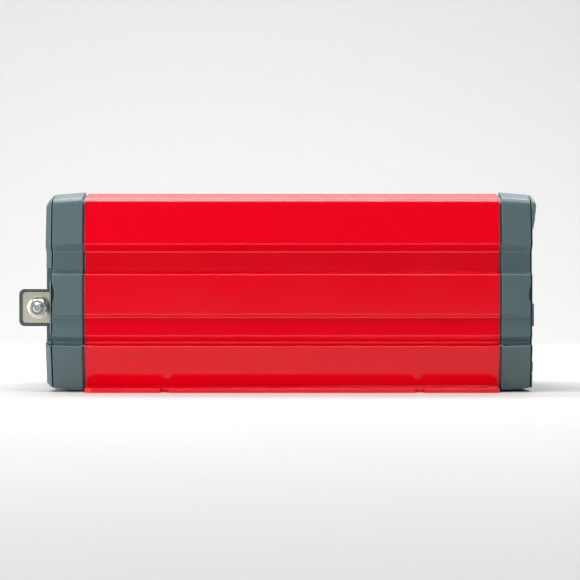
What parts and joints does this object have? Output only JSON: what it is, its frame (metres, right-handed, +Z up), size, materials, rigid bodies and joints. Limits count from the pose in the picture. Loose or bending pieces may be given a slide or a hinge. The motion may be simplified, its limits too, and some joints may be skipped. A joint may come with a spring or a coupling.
{
  "type": "power inverter",
  "caption": "DC to AC power inverter with an extruded red housing, moulded grey end caps, foot flanges, stud terminals, twin fans, AC outlets, rocker switch and reset button.",
  "frame": {"origin": "centre of the housing's base plate, on the plane the flanges rest on", "axes": "+X from the DC terminal end towards the AC outlet end, +Y to the left when facing +X, +Z up"},
  "size_m": [0.4171, 0.2162, 0.1616],
  "materials": {
    "upper_housing": "semi-gloss fine-texture powder coat on extruded aluminium",
    "base_plate": "semi-gloss fine-texture powder coat on extruded aluminium",
    "base_screws": "zinc plated",
    "front_bezel": "satin moulded ABS",
    "front_fascia": "satin moulded ABS",
    "front_screws": "black oxide",
    "rear_bezel": "satin moulded ABS",
    "rear_panel": "satin moulded ABS",
    "rear_screws": "black oxide",
    "terminal_tray_negative": "satin glass-filled nylon",
    "terminal_tray_positive": "satin glass-filled nylon",
    "busbar_negative": "nickel-plated copper bar",
    "busbar_positive": "nickel-plated copper bar",
    "terminal_stud_negative": "zinc plated thread",
    "terminal_stud_positive": "zinc plated thread",
    "terminal_nut_negative": "bright nickel plate",
    "terminal_nut_positive": "bright nickel plate",
    "ground_stud": "zinc plated thread",
    "ground_nut": "bright brass",
    "fan_frame_left": "satin PBT",
    "fan_frame_right": "satin PBT",
    "fan_stator_left": "enamelled copper on steel",
    "fan_stator_right": "enamelled copper on steel",
    "fan_rotor_left": "satin PBT",
    "fan_rotor_right": "satin PBT",
    "fan_guard_left": "bright nickel-plated wire",
    "fan_guard_right": "bright nickel-plated wire",
    "fan_screws": "black oxide",
    "outlet_near": "moulded nylon",
    "outlet_far": "moulded nylon",
    "outlet_contacts": "bright brass spring",
    "switch_frame": "moulded nylon",
    "power_rocker": "moulded nylon",
    "breaker_body": "moulded phenolic",
    "breaker_button": "moulded nylon",
    "usb_module": "moulded nylon",
    "usb_shells": "nickel-plated steel",
    "remote_port": "moulded nylon",
    "display_lens": "smoked acrylic",
    "display_board": "solder mask",
    "status_lenses": "tinted acrylic",
    "mode_button": "moulded nylon",
    "switch_board": "solder mask",
    "main_board": "solder mask",
    "insulating_sheet": "polyester film",
    "board_standoffs": "turned brass",
    "board_screws": "zinc plated",
    "control_board": "solder mask",
    "transformer_cores": "pressed ferrite",
    "transformer_windings": "taped copper winding",
    "input_capacitors": "sleeved aluminium can",
    "bulk_capacitors": "sleeved aluminium can",
    "heat_sinks": "mill finish extrusion",
    "power_transistors": "moulded epoxy",
    "choke_core": "coated powdered iron",
    "choke_winding": "enamelled copper",
    "blade_fuses": "tinted polycarbonate",
    "outlet_wires": "PVC insulation",
    "fan_leads": "PVC insulation"
  },
  "bodies": {
    "case": {"upper_housing": "upper_housing", "base_plate": "base_plate", "base_screws": "base_screws", "front_bezel": "front_bezel", "front_fascia": "front_fascia", "front_screws": "front_screws", "rear_bezel": "rear_bezel", "rear_panel": "rear_panel", "rear_screws": "rear_screws", "terminal_tray_negative": "terminal_tray_negative", "terminal_tray_positive": "terminal_tray_positive", "busbar_negative": "busbar_negative", "busbar_positive": "busbar_positive", "terminal_stud_negative": "terminal_stud_negative", "terminal_stud_positive": "terminal_stud_positive", "terminal_nut_negative": "terminal_nut_negative", "terminal_nut_positive": "terminal_nut_positive", "ground_stud": "ground_stud", "ground_nut": "ground_nut", "fan_frame_left": "fan_frame_left", "fan_frame_right": "fan_frame_right", "fan_stator_left": "fan_stator_left", "fan_stator_right": "fan_stator_right", "fan_guard_left": "fan_guard_left", "fan_guard_right": "fan_guard_right", "fan_screws": "fan_screws", "outlet_near": "outlet_near", "outlet_far": "outlet_far", "outlet_contacts": "outlet_contacts", "switch_frame": "switch_frame", "breaker_body": "breaker_body", "usb_module": "usb_module", "usb_shells": "usb_shells", "remote_port": "remote_port", "display_lens": "display_lens", "display_board": "display_board", "status_lenses": "status_lenses", "switch_board": "switch_board", "main_board": "main_board", "insulating_sheet": "insulating_sheet", "board_standoffs": "board_standoffs", "board_screws": "board_screws", "control_board": "control_board", "transformer_cores": "transformer_cores", "transformer_windings": "transformer_windings", "input_capacitors": "input_capacitors", "bulk_capacitors": "bulk_capacitors", "heat_sinks": "heat_sinks", "power_transistors": "power_transistors", "choke_core": "choke_core", "choke_winding": "choke_winding", "blade_fuses": "blade_fuses", "outlet_wires": "outlet_wires", "fan_leads": "fan_leads"},
    "rotor_left": {"fan_rotor_left": "fan_rotor_left"},
    "rotor_right": {"fan_rotor_right": "fan_rotor_right"},
    "rocker": {"power_rocker": "power_rocker"},
    "breaker_reset": {"breaker_button": "breaker_button"},
    "mode_key": {"mode_button": "mode_button"}
  },
  "joints": [
    {"name": "fan_left_spin", "type": "hinge", "parent": "case", "child": "rotor_left", "pos_m": [-0.18, -0.042, 0.08], "axis": [1, 0, 0], "continuous": true},
    {"name": "fan_right_spin", "type": "hinge", "parent": "case", "child": "rotor_right", "pos_m": [-0.18, 0.042, 0.08], "axis": [1, 0, 0], "continuous": true},
    {"name": "power_rocker_tilt", "type": "hinge", "parent": "case", "child": "rocker", "pos_m": [0.19305, -0.058, 0.0618], "axis": [0, 1, 0], "range_deg": [-20, 0]},
    {"name": "breaker_push", "type": "slide", "parent": "case", "child": "breaker_reset", "axis": [-1, 0, 0], "range_m": [0, 0.0025], "stiffness_N_per_m": 400, "springref_m": -0.002},
    {"name": "mode_push", "type": "slide", "parent": "case", "child": "mode_key", "axis": [-1, 0, 0], "range_m": [0, 0.0015], "stiffness_N_per_m": 500, "springref_m": -0.001}
  ]
}
